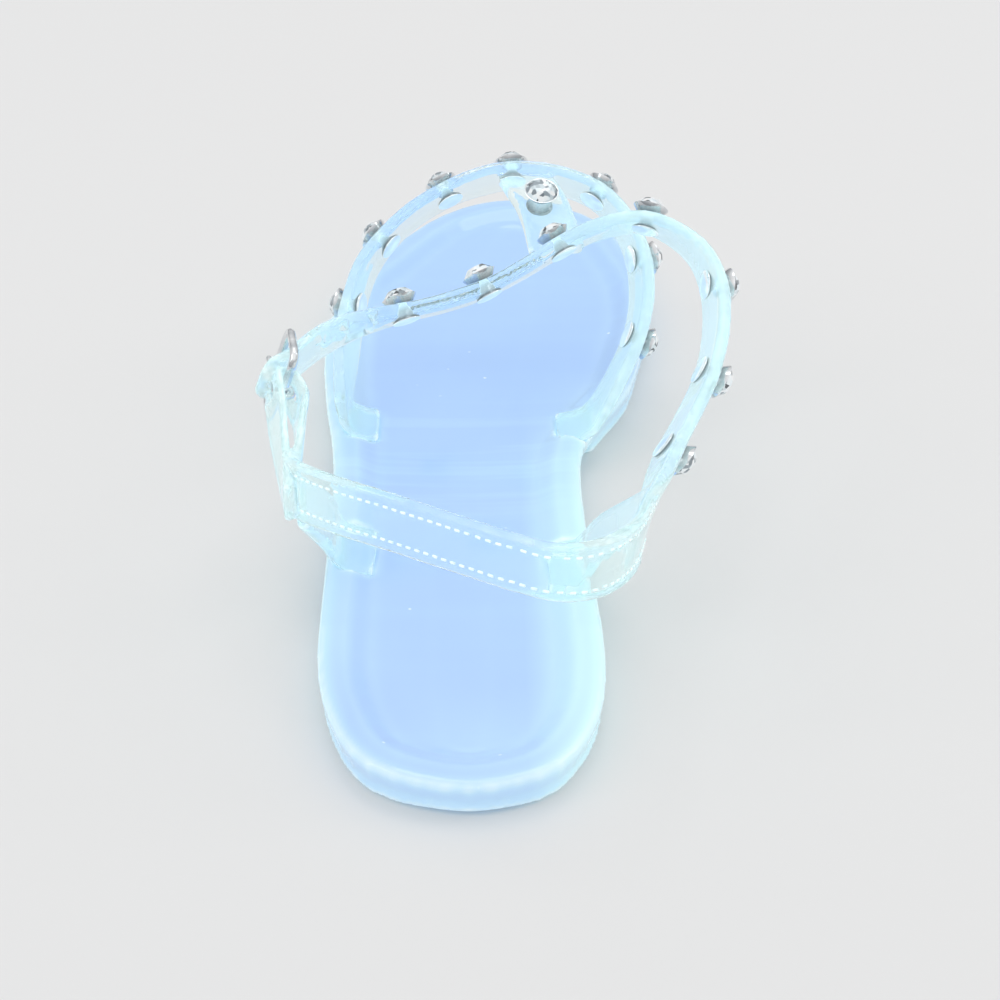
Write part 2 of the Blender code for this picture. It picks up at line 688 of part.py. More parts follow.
def make_studs(stud_frames, metal, glass):
    """A riveted setting and a cut stone on each stud's place."""
    face = strap_thickness / 2
    seat = face + seat_gap
    rim = face + stud_rise
    bed = rim - 0.0009
    setting = profile_mesh("stud", (
        (0, bed), (stone_radius - 0.0006, bed), (stone_radius + seat_gap, rim), (stud_radius, rim),
        (stud_radius, rim - 0.0005), (stud_foot_radius, seat), (shank_radius, seat), (shank_radius, -seat),
        (cap_radius * 0.5, -seat), (cap_radius, -seat - cap_rise * 0.5), (0, -seat - cap_rise),
    ), metal)
    stone = profile_mesh("stone", (
        (0, face + stone_rise), (stone_radius * 0.56, face + stone_rise), (stone_radius, rim + 0.0005),
        (stone_radius, rim + 0.0002), (stone_radius - 0.0009, bed + seat_gap), (0, bed + seat_gap),
    ), glass)
    for number, frame in enumerate(stud_frames, start=1):
        turned_piece(f"stud_{number:02d}", setting, frame, turned_sides)
        turned_piece(f"stone_{number:02d}", stone, frame, stone_sides)


def wire(name, spots, radius, cyclic, material):
    """A round wire through points."""
    curve = bpy.data.curves.new(name, "CURVE")
    curve.dimensions = "3D"
    curve.bevel_depth = radius
    curve.bevel_resolution = 2
    curve.use_fill_caps = not cyclic
    spline = curve.splines.new("POLY")
    spline.points.add(len(spots) - 1)
    for point, spot in zip(spline.points, spots):
        point.co = (*spot, 1)
    spline.use_cyclic_u = cyclic
    spline.use_smooth = True
    curve.materials.append(material)
    thing = bpy.data.objects.new(name, curve)
    pieces.objects.link(thing)
    return thing


def make_buckle(buckle, metal):
    """The rectangular frame with round corners, and the prong wrapped on its rear bar."""
    spots = []
    half = buckle_height / 2
    corners = ((buckle_depth, -half), (buckle_depth, half), (0, half), (0, -half))
    corner_steps = 3
    for index, (forward, down) in enumerate(corners):
        centre_forward = forward - buckle_corner if forward else buckle_corner
        centre_down = down + buckle_corner if down < 0 else down - buckle_corner
        start = -90 + 90 * index
        for step in range(corner_steps + 1):
            angle = radians(start + 90 * step / corner_steps)
            spots.append(buckle.at(centre_forward + buckle_corner * cos(angle), 0,
                                   centre_down + buckle_corner * sin(angle)))
    wire("buckle_frame", spots, bar_radius, True, metal)

    radius = bar_radius + seat_gap + prong_radius
    spots = []
    for degrees in range(-40, -291, -25):
        spots.append(buckle.at(radius * cos(radians(degrees)), radius * sin(radians(degrees))))
    spots.append(buckle.at(buckle_depth + prong_overrun, radius))
    wire("buckle_prong", spots, prong_radius, False, metal)


def main():
    """Build the sandal."""
    clear_scene()
    jelly_sole = plain_material("clear_pvc_sole", (0.62, 0.80, 1.0), 0.12, 0.0, 0.6)
    jelly_upper = plain_material("clear_pvc_upper", (0.70, 0.90, 1.0), 0.12, 0.0, 0.6)
    plated = plain_material("plated_metal", (0.80, 0.82, 0.85), 0.15, 1.0)
    crystal = plain_material("cut_glass", (0.90, 0.95, 1.0), 0.03, 0.0, 0.8)

    buckle = Buckle()
    knots = {
        "toe_strap": read_route(toe_strap_rows, toe_strap_width),
        "t_bar": read_route(t_bar_rows, t_bar_width),
        "ankle": free_end_knots(buckle) + read_route(ankle_rows, ankle_strap_width),
        "outer_arm": read_route(outer_arm_rows, outer_arm_width),
        "inner_arm": read_route(inner_arm_rows, inner_arm_width),
        "fold": fold_knots(buckle),
    }
    routes = {name: route_frames(row) for name, row in knots.items()}
    stud_frames = [frame for name in ("toe_strap", "t_bar", "ankle") for frame in routes[name] if frame.stud]
    make_sole(routes, jelly_sole)
    make_upper(routes, stud_frames, buckle, jelly_upper)
    make_studs(stud_frames, plated, crystal)
    make_buckle(buckle, plated)


main()
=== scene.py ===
from math import pi, radians

import bpy
import numpy as np
from mathutils import Matrix, Vector
from mathutils.bvhtree import BVHTree


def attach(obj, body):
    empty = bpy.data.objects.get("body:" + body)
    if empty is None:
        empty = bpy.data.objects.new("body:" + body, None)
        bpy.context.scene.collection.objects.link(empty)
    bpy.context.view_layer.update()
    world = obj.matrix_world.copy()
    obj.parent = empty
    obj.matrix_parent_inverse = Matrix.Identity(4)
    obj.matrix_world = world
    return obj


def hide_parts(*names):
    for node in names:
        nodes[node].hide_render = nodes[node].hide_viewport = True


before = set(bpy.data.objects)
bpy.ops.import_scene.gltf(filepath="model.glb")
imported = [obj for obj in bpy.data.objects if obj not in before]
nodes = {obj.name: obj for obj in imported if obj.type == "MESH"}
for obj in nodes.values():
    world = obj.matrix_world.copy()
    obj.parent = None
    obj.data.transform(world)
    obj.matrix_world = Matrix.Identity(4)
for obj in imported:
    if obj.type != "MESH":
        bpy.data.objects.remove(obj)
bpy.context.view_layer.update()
print("frame loaded:", len(nodes), "nodes")


def selectOnly(piece):
    bpy.ops.object.select_all(action="DESELECT")
    piece.select_set(True)
    bpy.context.view_layer.objects.active = piece


def inEditMode(piece, *steps):
    selectOnly(piece)
    bpy.ops.object.mode_set(mode="EDIT")
    for step in steps:
        step()
    bpy.ops.object.mode_set(mode="OBJECT")


def pickFaces(piece, wanted):
    bpy.ops.object.mode_set(mode="OBJECT")
    for part in (piece.data.vertices, piece.data.edges, piece.data.polygons):
        part.foreach_set("select", [False] * len(part))
    for face in piece.data.polygons:
        face.select = wanted(face)
    bpy.ops.object.mode_set(mode="EDIT")
    bpy.ops.mesh.select_mode(type="FACE")


def applyModifiers(piece):
    selectOnly(piece)
    for modifier in list(piece.modifiers):
        bpy.ops.object.modifier_apply(modifier=modifier.name)


def copyOfNode(pieceName, nodeName):
    piece = bpy.data.objects.new(pieceName, nodes[nodeName].data.copy())
    bpy.context.scene.collection.objects.link(piece)
    piece.data.materials.clear()
    inEditMode(
        piece,
        lambda: bpy.ops.mesh.select_all(action="SELECT"),
        lambda: bpy.ops.mesh.remove_doubles(threshold=moulding["sameSpot"]),
        lambda: bpy.ops.mesh.normals_make_consistent(inside=False),
    )
    return piece


def handOver(piece, nodeName, finish):
    piece.data.materials.append(finish)
    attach(piece, "root")
    if nodeName:
        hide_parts(nodeName)


class Signal:  # a socket that can be added, multiplied and so on
    def __init__(self, finish, socket):
        self.finish = finish
        self.socket = socket

    def math(self, operation, first, second):
        return self.finish.add("ShaderNodeMath", {"operation": operation}, {0: first, 1: second})

    def __add__(self, other):
        return self.math("ADD", self, other)

    def __rsub__(self, other):
        return self.math("SUBTRACT", other, self)

    def __mul__(self, other):
        return self.math("MULTIPLY", self, other)


class Finish:  # the nodes of one material, or of the sky
    def __init__(self, name, sky=False):
        self.owner = (bpy.data.worlds if sky else bpy.data.materials).new(name)
        self.outlet = "ShaderNodeOutputWorld" if sky else "ShaderNodeOutputMaterial"
        self.owner.use_nodes = True
        self.tree = self.owner.node_tree
        self.tree.nodes.clear()

    def add(self, kind, settings=None, inputs=None, output=0):
        node = self.tree.nodes.new(kind)
        for key, value in (settings or {}).items():
            if key == "stops":
                ramp = node.color_ramp.elements
                while len(ramp) < len(value):
                    ramp.new(0.5)
                for stop, (position, colour) in zip(ramp, value):
                    stop.position = position
                    stop.color = (*colour, 1)
            else:
                setattr(node, key, value)
        for key, value in (inputs or {}).items():
            if isinstance(value, Signal):
                self.tree.links.new(value.socket, node.inputs[key])
            elif isinstance(value, tuple) and len(value) == 3 and node.inputs[key].type == "RGBA":
                node.inputs[key].default_value = (*value, 1)
            else:
                node.inputs[key].default_value = value
        return Signal(self, node.outputs[output]) if node.outputs else None

    def mix(self, factor, first, second):
        settings = {"data_type": "RGBA", "clamp_factor": True}
        return self.add("ShaderNodeMix", settings, {0: factor, 6: first, 7: second}, 2)

    def place(self):
        return self.add("ShaderNodeTexCoord", output="Object")

    def noise(self, scale, detail=2.0, stretch=(1, 1, 1)):
        spot = self.add("ShaderNodeMapping", None, {"Vector": self.place(), "Scale": stretch})
        return self.add("ShaderNodeTexNoise", None, {"Vector": spot, "Scale": scale, "Detail": detail})

    def axis(self, vector, number):  # one of a vector's three values
        return self.add("ShaderNodeSeparateXYZ", None, {0: vector}, number)

    def mark(self, name):  # an attribute that the piece's mesh carries
        return self.add("ShaderNodeAttribute", {"attribute_name": name}, output="Fac")

    def bump(self, height, distance, strength=0.6):
        inputs = {"Height": height, "Distance": distance, "Strength": strength}
        return self.add("ShaderNodeBump", None, inputs)

    def stretch(self, value, span):  # 0 at the span's start, 1 at its end
        return self.add("ShaderNodeMapRange", {"clamp": True}, {0: value, 1: span[0], 2: span[1]})

    def principled(self, inputs):
        return self.add("ShaderNodeBsdfPrincipled", None, inputs)

    def surface(self, shader):
        self.add(self.outlet, None, {"Surface": shader})
        return self.owner


# the plastic; spans are in metres across or along the shoe where they say so
pvcLook = {
    # glow is a painted glow where the walls gather the light, and also the pale tint of clouding and flow
    # lines; line is a painted highlight along the sharpest edges, and also the white of bubble specks
    "glow": (0.68, 0.95, 0.98),  # where the walls gather the light
    "line": (0.93, 1.0, 0.99),   # the sharpest edges
    "cloudScale": 16.0, "cloudSpan": (0.35, 0.65),
    "rippleScale": 210.0, "rippleDepth": 0.00004, "rippleDetail": 3.0,
    "gloss": 0.07, "bend": 1.46,
}

soleLook = {
    "deep": (0.415, 0.59, 0.93), "mid": (0.45, 0.64, 0.95),
    "toes": (0.405, 0.60, 0.89), "toesAlong": (0.03, 0.17), "toesShare": 0.85,
    "waistStart": (0.055, 0.075), "waistEnd": (0.09, 0.12),  # flow lines, along
    "streakScale": 30.0, "streakDetail": 3.0, "streakStretch": (0.25, 5, 1),
    "streakSpan": (0.52, 0.66), "streakShare": 0.2,
    "bubbleScale": 160.0, "bubbleSpan": (0.05, 0.09), "bubbleShare": 0.7,
    "patchScale": 90.0, "patchSpan": (0.56, 0.62),
    "innerAcross": (0.013, 0.029), "innerGlow": 0.75, "rearAlong": (0.06, 0.13),
    "outerAcross": (-0.033, -0.024), "outerGlow": 0.35,
    "slopeSpan": (0.55, 0.95), "slopeGlow": 0.35, "lineShare": 0.9,
    "smearScale": 60.0, "smearDetail": 3.0, "smearSpan": (0.3, 0.7), "smearBlur": 0.08,
    "through": 0.15, "coat": 0.4, "coatBlur": 0.04, "selfGlow": 0.20,
}


def solePvc():
    look = soleLook
    finish = Finish("clearPvcSole")
    across, along = finish.axis(finish.place(), 0), finish.axis(finish.place(), 1)

    cloud = finish.stretch(finish.noise(pvcLook["cloudScale"]), pvcLook["cloudSpan"])
    body = finish.mix(cloud, look["deep"], look["mid"])
    body = finish.mix(finish.stretch(along, look["toesAlong"]) * look["toesShare"], body, look["toes"])

    waist = finish.stretch(along, look["waistStart"]) * (1 - finish.stretch(along, look["waistEnd"]))
    streak = finish.noise(look["streakScale"], look["streakDetail"], look["streakStretch"])
    streak = finish.stretch(streak, look["streakSpan"])
    body = finish.mix(streak * waist * look["streakShare"], body, pvcLook["glow"])

    cells = finish.add(
        "ShaderNodeTexVoronoi", None, {"Vector": finish.place(), "Scale": look["bubbleScale"]}, "Distance")
    patch = finish.stretch(finish.noise(look["patchScale"]), look["patchSpan"])
    bubbles = (1 - finish.stretch(cells, look["bubbleSpan"])) * patch
    body = finish.mix(bubbles * look["bubbleShare"], body, pvcLook["line"])

    # painted light: the inner side toward the heel and the outer side are lighter, as where the light falls
    # on them
    rear = 1 - finish.stretch(along, look["rearAlong"])
    inner = finish.stretch(across, look["innerAcross"]) * look["innerGlow"] * rear
    outer = (1 - finish.stretch(across, look["outerAcross"])) * look["outerGlow"]
    # painted light: walls and slopes that tilt away from straight up are lighter
    facing = finish.add("ShaderNodeNewGeometry", output="Normal")
    slope = (1 - finish.stretch(finish.axis(facing, 2), look["slopeSpan"])) * look["slopeGlow"]
    # painted light: side glow, slope glow and the painted glow at bends lighten the body toward the glow
    # colour
    colour = finish.mix(inner + outer + finish.mark("edge") + slope, body, pvcLook["glow"])
    # painted highlight lines on the sharpest edges
    colour = finish.mix(finish.mark("line") * look["lineShare"], colour, pvcLook["line"])

    ripple = finish.noise(pvcLook["rippleScale"], pvcLook["rippleDetail"])
    smear = finish.stretch(finish.noise(look["smearScale"], look["smearDetail"]), look["smearSpan"])
    # the sole also glows by emission in its own colour: a painted glow
    return finish.surface(finish.principled({
        "Base Color": colour, "Roughness": smear * look["smearBlur"] + pvcLook["gloss"],
        "Normal": finish.bump(ripple, pvcLook["rippleDepth"]),
        "IOR": pvcLook["bend"], "Transmission Weight": look["through"],
        "Coat Weight": look["coat"], "Coat Roughness": look["coatBlur"],
        "Emission Color": colour, "Emission Strength": look["selfGlow"],
    }))


# the straps mix a clear plastic, which shows what is behind it, and a milky one that glows by emission, a
# painted glow; more milky plastic at bends, sharp edges and both sides paints light there
upperLook = {
    "clear": (0.955, 0.99, 0.985), "clearGlow": 0.15,
    "clearBlur": 0.7, "clearBend": 1.09, "clearCoat": 0.35, "clearSelfGlow": 0.01,
    "milky": (0.70, 0.92, 0.93),
    "milkyBlur": 1.5, "milkyCoat": 0.5, "milkySelfGlow": 0.30, "coatBlur": 0.03,
    "cloudFiner": 2, "rippleFiner": 1.5,
    "innerAcross": (0.014, 0.038), "innerLightMix": 0.28,
    "outerAcross": (-0.040, -0.018), "outerLightMix": 0.25,
    "edgeSpan": (0.25, 1.0), "edgeGlowMix": 0.40, "lineHighlightMix": 0.40, "cloudMilk": 0.04, "leastMilk": 0.04,
}


def upperPvc():
    look = upperLook
    finish = Finish("clearPvcUpper")
    cloud = finish.noise(pvcLook["cloudScale"] * look["cloudFiner"])
    cloud = finish.stretch(cloud, pvcLook["cloudSpan"])
    edge, line = finish.mark("edge"), finish.mark("line")
    tint = finish.mix(cloud * look["clearGlow"], look["clear"], pvcLook["glow"])
    # painted glow at bends and painted highlight lines on the sharpest edges
    milk = finish.mix(edge, look["milky"], pvcLook["glow"])
    milk = finish.mix(line, milk, pvcLook["line"])
    ripple = finish.noise(pvcLook["rippleScale"] * look["rippleFiner"], pvcLook["rippleDetail"])
    bump = finish.bump(ripple, pvcLook["rippleDepth"])
    # both plastics glow by emission, a painted glow: faintly the clear one, strongly the milky one
    clear = finish.principled({
        "Base Color": tint, "Roughness": pvcLook["gloss"] * look["clearBlur"], "Normal": bump,
        "IOR": look["clearBend"], "Transmission Weight": 1.0,
        "Coat Weight": look["clearCoat"], "Coat Roughness": look["coatBlur"],
        "Emission Color": milk, "Emission Strength": look["clearSelfGlow"],
    })
    milky = finish.principled({
        "Base Color": milk, "Roughness": pvcLook["gloss"] * look["milkyBlur"], "Normal": bump,
        "IOR": pvcLook["bend"], "Coat Weight": look["milkyCoat"], "Coat Roughness": look["coatBlur"],
        "Emission Color": milk, "Emission Strength": look["milkySelfGlow"],
    })
    across = finish.axis(finish.place(), 0)
    # painted light: toward both sides of the shoe more of the glowing milky plastic is mixed in
    inner = finish.stretch(across, look["innerAcross"]) * look["innerLightMix"]
    outer = (1 - finish.stretch(across, look["outerAcross"])) * look["outerLightMix"]
    # painted highlight: more of the glowing milky plastic at bends and sharp edges
    rims = finish.stretch(edge, look["edgeSpan"]) * look["edgeGlowMix"] + line * look["lineHighlightMix"]
    factor = rims + inner + outer + cloud * look["cloudMilk"] + look["leastMilk"]
    return finish.surface(finish.add("ShaderNodeMixShader", None, {0: factor, 1: clear, 2: milky}))


stitchLook = {
    "low": (0.72, 0.93, 0.97), "high": (0.92, 1.0, 1.0), "toneScale": 500.0, "toneSpan": (0.3, 0.7),
    "grainScale": 1800.0, "grainDepth": 0.00003, "blur": 0.15, "coat": 0.5, "selfGlow": 0.30,
}


def stitchPvc():
    look = stitchLook
    finish = Finish("stitchPvc")
    tone = finish.stretch(finish.noise(look["toneScale"]), look["toneSpan"])
    tone = finish.mix(tone, look["low"], look["high"])
    # the stitches also glow by emission in their own tone: a painted glow
    return finish.surface(finish.principled({
        "Base Color": tone, "Roughness": look["blur"], "Coat Weight": look["coat"],
        "Normal": finish.bump(finish.noise(look["grainScale"]), look["grainDepth"]),
        "Emission Color": tone, "Emission Strength": look["selfGlow"],
    }))


platingLook = {
    # the crevice colour is a painted shade for the setting's crevices
    "dull": (0.66, 0.69, 0.72), "bright": (0.92, 0.93, 0.94), "crevice": (0.10, 0.12, 0.14),
    "wearScale": 260.0, "wearDetail": 3.0, "wearSpan": (0.35, 0.65), "wearBlur": 0.10, "leastBlur": 0.08,
    "grainScale": 900.0, "grainDepth": 0.00002, "grainStrength": 0.3,
    "nowhere": (0.0, 0.0, 0.0),
    "shank": (0.55, 0.78, 0.90),  # light that the clear plastic throws on the rivet
    "back": (0.22, 0.28, 0.29),   # and on the back cap
}


def brightPlating():
    look = platingLook
    finish = Finish("brightPlating")
    wear = finish.stretch(finish.noise(look["wearScale"], look["wearDetail"]), look["wearSpan"])
    colour = finish.mix(wear, look["dull"], look["bright"])
    # painted shade at the foot, under the cap's rim and in the stone's bed
    colour = finish.mix(finish.mark("crevice"), colour, look["crevice"])
    thrown = finish.mix(finish.mark("shank"), look["nowhere"], look["shank"])
    thrown = finish.mix(finish.mark("back"), thrown, look["back"])
    grain = finish.noise(look["grainScale"])
    return finish.surface(finish.principled({
        "Base Color": colour, "Metallic": 1.0, "Roughness": wear * look["wearBlur"] + look["leastBlur"],
        "Normal": finish.bump(grain, look["grainDepth"], look["grainStrength"]),
        "Emission Color": thrown, "Emission Strength": 1.0,
    }))


glassLook = {
    "facetScale": 900.0,
    "facetGlints": (
        (0.0, (0.03, 0.04, 0.05)), (0.3, (0.30, 0.36, 0.40)),
        (0.5, (0.82, 0.93, 0.98)), (1.0, (1.0, 1.0, 1.0)),
    ),
    "metal": 0.35, "blur": 0.04, "bend": 1.6, "coat": 1.0, "coatBlur": 0.02, "selfGlow": 0.10,
}


def cutGlass():
    look = glassLook
    finish = Finish("cutGlass")
    # painted reflections: cells painted black to white stand in for glints inside the stone
    cells = finish.add(
        "ShaderNodeTexVoronoi", None, {"Vector": finish.place(), "Scale": look["facetScale"]}, "Color")
    spark = finish.axis(cells, 0)
    colour = finish.add("ShaderNodeValToRGB", {"stops": look["facetGlints"]}, {0: spark})
    # the stones also glow by emission in these colours: painted glow and glints
    return finish.surface(finish.principled({
        "Base Color": colour, "Metallic": look["metal"], "Roughness": look["blur"], "IOR": look["bend"],
        "Coat Weight": look["coat"], "Coat Roughness": look["coatBlur"],
        "Emission Color": colour, "Emission Strength": look["selfGlow"],
    }))


soleFinish, upperFinish, stitchFinish = solePvc(), upperPvc(), stitchPvc()
metalFinish, glassFinish = brightPlating(), cutGlass()
print("materials ready")


# grain is the size of the remeshed squares, soften the rounds of smoothing; a painted highlight line starts
# at that much bend
moulding = {
    "soleGrain": 0.0007, "soleSoften": 5, "soleLine": 0.042,
    "upperGrain": 0.00058, "upperSoften": 9, "upperLine": 0.062,
    "metalGrain": 0.00018, "metalSoften": 30,
    "lineReach": 3, "lineGain": 12.0, "edgeReach": 3, "edgeGain": 5.5,
    "quickCoarser": 2, "softFactor": 0.5,
    "sameSpot": 0.00001,
}


def mouldSoft(piece, grain, soften):
    remesh = piece.modifiers.new("mould", "REMESH")
    remesh.mode = "VOXEL"
    remesh.voxel_size = grain * 1
    remesh.use_smooth_shade = True
    soft = piece.modifiers.new("soften", "SMOOTH")
    soft.factor = moulding["softFactor"]
    soft.iterations = soften
    applyModifiers(piece)
    selectOnly(piece)
    bpy.ops.object.shade_smooth()


def neighbourMean(pairs, values, count):
    total = np.zeros_like(values)
    links = np.zeros(count)
    for here, there in ((0, 1), (1, 0)):
        np.add.at(total, pairs[:, here], values[pairs[:, there]])
        np.add.at(links, pairs[:, here], 1)
    links = np.maximum(links, 1)
    return total / (links[:, None] if values.ndim > 1 else links)


def storeMark(mesh, name, values):
    layer = mesh.attributes.new(name, "FLOAT", "POINT")
    layer.data.foreach_set("value", np.clip(values, 0, 1).astype(np.float32))


def spread(pairs, bend, count, rounds):
    for _ in range(rounds):
        bend = (bend + neighbourMean(pairs, bend, count)) / 2
    return bend


# the narrow bend becomes painted highlight lines on the finish, the broad one a painted glow
def markEdges(piece, grain, lineFrom):  # how sharply the surface bends, narrow and broad, for the finish
    mesh = piece.data
    count = len(mesh.vertices)
    spots, normals = np.zeros(count * 3), np.zeros(count * 3)
    mesh.vertices.foreach_get("co", spots)
    mesh.vertices.foreach_get("normal", normals)
    spots, normals = spots.reshape(-1, 3), normals.reshape(-1, 3)
    pairs = np.zeros(len(mesh.edges) * 2, dtype=int)
    mesh.edges.foreach_get("vertices", pairs)
    pairs = pairs.reshape(-1, 2)
    bend = np.abs(((neighbourMean(pairs, spots, count) - spots) * normals).sum(1)) / grain
    bend = spread(pairs, bend, count, moulding["lineReach"])
    storeMark(mesh, "line", (bend - lineFrom) * moulding["lineGain"])
    bend = spread(pairs, bend, count, moulding["edgeReach"])
    storeMark(mesh, "edge", bend * moulding["edgeGain"])


# a flared setting riveted through the strap, and a cut stone in it; face is half the strap's thickness,
# gap the play between strap and metal, and solidTop and tableHeight are measured from the strap's middle
studSizes = {
    "count": 15, "sides": 32, "face": 0.0016, "gap": 0.0003,
    "footRadius": 0.0028, "rimRadius": 0.0044, "rimHeight": 0.0024, "rimWall": 0.0004, "seatDepth": 0.0006,
    "rimBevel": 0.00012, "sharpFrom": 35,
    "shankRadius": 0.0008, "capRadius": 0.0035, "capThick": 0.0004,
    "capDome": 0.0002, "capStep": 0.3, "domeShares": (0.7, 0.3),
    "plugSides": 20, "plugRadius": 0.0020, "plugDepth": 0.0031,
    "stoneSides": 12, "crown": 0.0018, "tableShare": 0.56, "pointShare": 0.55, "turn": 0.7,
    "girdleInset": 0.00024, "seatPlay": 0.00009, "solidTop": 0.0059, "tableHeight": 0.0058,
    "flatTilt": 0.9, "flatMargin": 0.0001,  # how upright and how near a face is to be picked
}


def studMatrix(number):  # local Z out of the strap, origin in the strap's middle
    def corners(name):
        mesh = nodes[name].data
        values = np.zeros(len(mesh.vertices) * 3)
        mesh.vertices.foreach_get("co", values)
        return np.unique(values.reshape(-1, 3).round(7), axis=0)
    stone, stud = corners(f"stone_{number:02d}"), corners(f"stud_{number:02d}")
    middle = stone.mean(0)
    _, ways = np.linalg.eigh(np.cov((stone - middle).T))
    axis = ways[:, 0] * np.sign(ways[:, 0] @ (middle - stud.mean(0)))
    top = ((stone - middle) @ axis).max()
    origin = Vector(middle + axis * (top - studSizes["solidTop"]))
    turned = Vector(axis).to_track_quat("Z", "X").to_matrix().to_4x4()
    return Matrix.Translation(origin) @ turned


sole = copyOfNode("soleMoulding", "sole")
mouldSoft(sole, moulding["soleGrain"], moulding["soleSoften"])
markEdges(sole, moulding["soleGrain"], moulding["soleLine"])
handOver(sole, "sole", soleFinish)
print("sole:", len(sole.data.polygons), "faces")

upper = copyOfNode("upperMoulding", "upper")
studNumbers = range(1, studSizes["count"] + 1)
plugs = []
for number in studNumbers:  # the plastic closes round each rivet
    bpy.ops.object.select_all(action="DESELECT")
    bpy.ops.mesh.primitive_cylinder_add(
        vertices=studSizes["plugSides"], radius=studSizes["plugRadius"], depth=studSizes["plugDepth"])
    plugs.append(bpy.context.object)
    plugs[-1].data.transform(studMatrix(number))
selectOnly(upper)
for plug in plugs:
    plug.select_set(True)
bpy.ops.object.join()
mouldSoft(upper, moulding["upperGrain"], moulding["upperSoften"])
markEdges(upper, moulding["upperGrain"], moulding["upperLine"])
handOver(upper, "upper", upperFinish)
print("upper:", len(upper.data.polygons), "faces")


stitching = {
    "route": (  # the middle of the band, from its inner end round the heel to the outer crease
        (0.0376, 0.0136, 0.0410), (0.0356, 0.0020, 0.0447), (0.0323, -0.0080, 0.0485),
        (0.0268, -0.0163, 0.0515), (0.0189, -0.0199, 0.0530), (0.0106, -0.0166, 0.0530),
        (0.0027, -0.0111, 0.0520), (-0.0056, -0.0038, 0.0500), (-0.0155, 0.0050, 0.0475),
        (-0.0270, 0.0161, 0.0438), (-0.0354, 0.0266, 0.0401),
    ),
    "rowHeight": 0.0040,  # of each row, above and below the middle of the band
    "pitch": 0.0025,
    "length": 0.0014, "width": 0.0006, "height": 0.0005, "softShare": 0.45,
    "outside": 0.012, "reach": 0.02,  # where the search for the band's surface starts, and how far it goes
}


def evenSpots(points, pitch):
    spots = []
    carried = 0.0
    for start, end in zip(points, points[1:]):
        run = (end - start).length
        while carried < run:
            spots.append((start.lerp(end, carried / run), (end - start).normalized()))
            carried += pitch
        carried -= run
    return spots


def makeStitch():
    size = stitching
    bpy.ops.object.select_all(action="DESELECT")
    bpy.ops.mesh.primitive_cube_add(size=1, scale=(size["length"], size["width"], size["height"]))
    stitch = bpy.context.object
    bpy.ops.object.transform_apply(location=False, rotation=False, scale=True)
    inEditMode(
        stitch,
        lambda: bpy.ops.mesh.select_all(action="SELECT"),
        lambda: bpy.ops.mesh.bevel(offset=size["height"] * size["softShare"], segments=2, affect="EDGES"),
    )
    bpy.ops.object.shade_smooth()
    return stitch


def makeStitches():
    model = makeStitch()
    points = [Vector(point) for point in stitching["route"]]
    target = BVHTree.FromObject(upper, bpy.context.evaluated_depsgraph_get())
    copies = []
    for spot, direction in evenSpots(points, stitching["pitch"]):
        up = (Vector((0, 0, 1)) - direction * direction.z).normalized()
        outward = up.cross(direction)
        for side in (-1, 1):
            start = spot + up * side * stitching["rowHeight"] + outward * stitching["outside"]
            hit, normal, _, _ = target.ray_cast(start, -outward, stitching["reach"])
            if hit is None:
                continue
            tangent = (direction - normal * direction.dot(normal)).normalized()
            turned = Matrix((tangent, normal.cross(tangent), normal)).transposed().to_4x4()
            stitch = bpy.data.objects.new("stitch", model.data.copy())
            stitch.data.transform(Matrix.Translation(hit) @ turned)
            bpy.context.scene.collection.objects.link(stitch)
            copies.append(stitch)
    bpy.data.objects.remove(model)
    bpy.ops.object.select_all(action="DESELECT")
    for stitch in copies:
        stitch.select_set(True)
    bpy.context.view_layer.objects.active = copies[0]
    bpy.ops.object.join()
    joined = bpy.context.object
    joined.name = "bandStitches"
    return joined


bandStitches = makeStitches()
handOver(bandStitches, None, stitchFinish)
print("stitches:", len(bandStitches.data.polygons), "faces")


def flatFaces(piece, height, way):  # the faces at that height that look up (1) or down (-1)
    tilt, margin = studSizes["flatTilt"], studSizes["flatMargin"]
    pickFaces(piece, lambda face: way * face.normal.z > tilt and abs(face.center.z - height) < margin)


def extrudeAlong(distance):
    bpy.ops.mesh.extrude_region_move(TRANSFORM_OT_translate={"value": (0, 0, distance)})


def scaleFlat(share, centre):
    bpy.ops.transform.resize(value=(share, share, 1), center_override=centre)


def makeSetting():
    size = studSizes
    low = size["face"] + size["gap"]
    high = size["face"] + size["rimHeight"]
    bpy.ops.object.select_all(action="DESELECT")
    bpy.ops.mesh.primitive_cone_add(
        vertices=size["sides"], radius1=size["footRadius"], radius2=size["rimRadius"],
        depth=high - low, location=(0, 0, (high + low) / 2))
    setting = bpy.context.object
    bpy.ops.object.transform_apply()
    bpy.ops.object.mode_set(mode="EDIT")
    flatFaces(setting, high, 1)
    bpy.ops.mesh.inset(thickness=size["rimWall"])
    extrudeAlong(-size["seatDepth"])
    flatFaces(setting, low, -1)
    bpy.ops.mesh.inset(thickness=size["footRadius"] - size["shankRadius"])
    extrudeAlong(-2 * low)
    scaleFlat(size["capRadius"] / size["shankRadius"], (0, 0, -low))
    extrudeAlong(-size["capThick"])
    for domeShare in size["domeShares"]:
        bpy.ops.mesh.inset(thickness=size["capRadius"] * size["capStep"], depth=size["capDome"] * domeShare)
    bpy.ops.mesh.select_all(action="SELECT")
    bpy.ops.mesh.normals_make_consistent(inside=False)
    bpy.ops.object.mode_set(mode="OBJECT")
    bevel = setting.modifiers.new("softRim", "BEVEL")
    bevel.width = size["rimBevel"]
    bevel.segments = 2
    bevel.limit_method = "ANGLE"
    applyModifiers(setting)
    bpy.ops.object.shade_smooth_by_angle(angle=radians(size["sharpFrom"]))
    markSetting(setting.data, low)
    return setting


